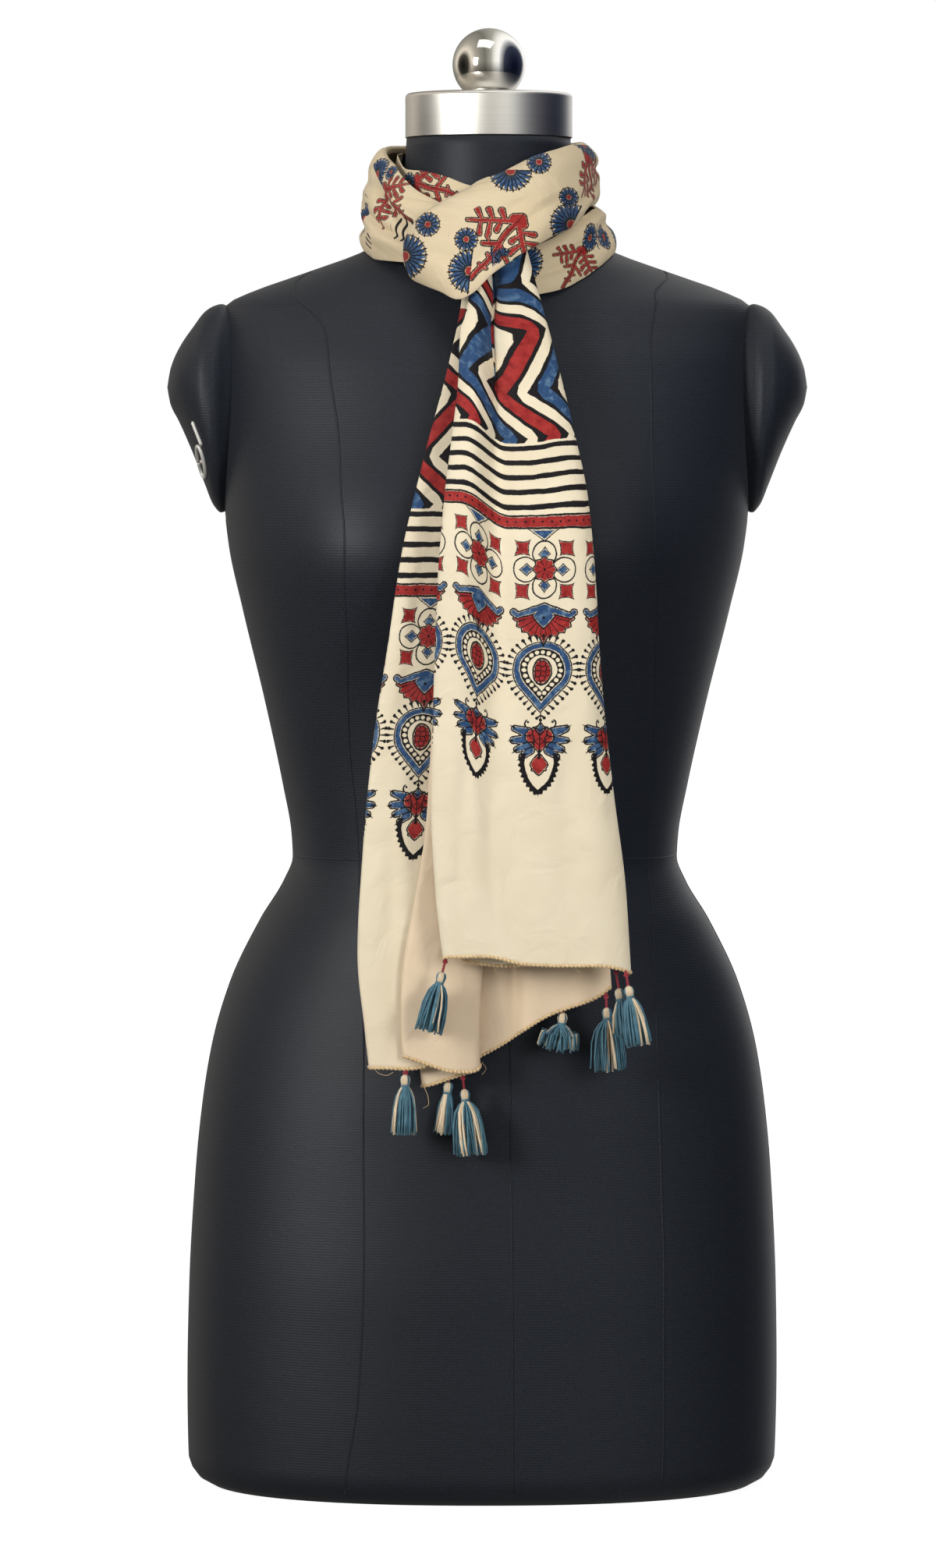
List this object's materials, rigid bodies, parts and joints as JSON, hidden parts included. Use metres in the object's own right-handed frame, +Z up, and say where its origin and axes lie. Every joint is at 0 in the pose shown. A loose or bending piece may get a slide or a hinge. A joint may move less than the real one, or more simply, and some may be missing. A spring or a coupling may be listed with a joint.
{
  "type": "stole on a dress form",
  "caption": "Block-printed stole with tasselled ends, looped round the neck of a limbless dress form that stands on its flat underside.",
  "frame": {"origin": "centre of the form's flat underside, below the neck's axis", "axes": "+Z up, -Y the front that the tails hang down, +X the side a viewer in front sees on the right"},
  "size_m": [0.3656, 0.2802, 0.8318],
  "materials": {
    "black_jersey": "matt charcoal-black ribbed jersey stretched over the form",
    "brushed_steel": "lathe-brushed steel neck cap",
    "chrome_ball": "polished ball finial",
    "printed_cloth": "soft beige cloth, block-printed in red, blue and black",
    "tassel_yarn": "teal-blue and cream yarn with red cords"
  },
  "bodies": {
    "root": {"form_torso": "black_jersey", "form_shoulder_left": "black_jersey", "form_shoulder_right": "black_jersey", "form_neck_cap": "brushed_steel", "form_finial": "chrome_ball", "stole_wrap": "printed_cloth", "stole_inner_collar": "printed_cloth", "stole_front_band": "printed_cloth", "stole_under_band": "printed_cloth", "stole_front_tail": "printed_cloth", "stole_rear_tail": "printed_cloth", "tassel_front_left": "tassel_yarn", "tassel_front_right": "tassel_yarn", "tassel_front_inner": "tassel_yarn", "tassel_rear_left": "tassel_yarn", "tassel_rear_middle": "tassel_yarn", "tassel_rear_inner": "tassel_yarn", "tassel_rear_right": "tassel_yarn", "tassel_rear_behind": "tassel_yarn"}
  },
  "joints": []
}
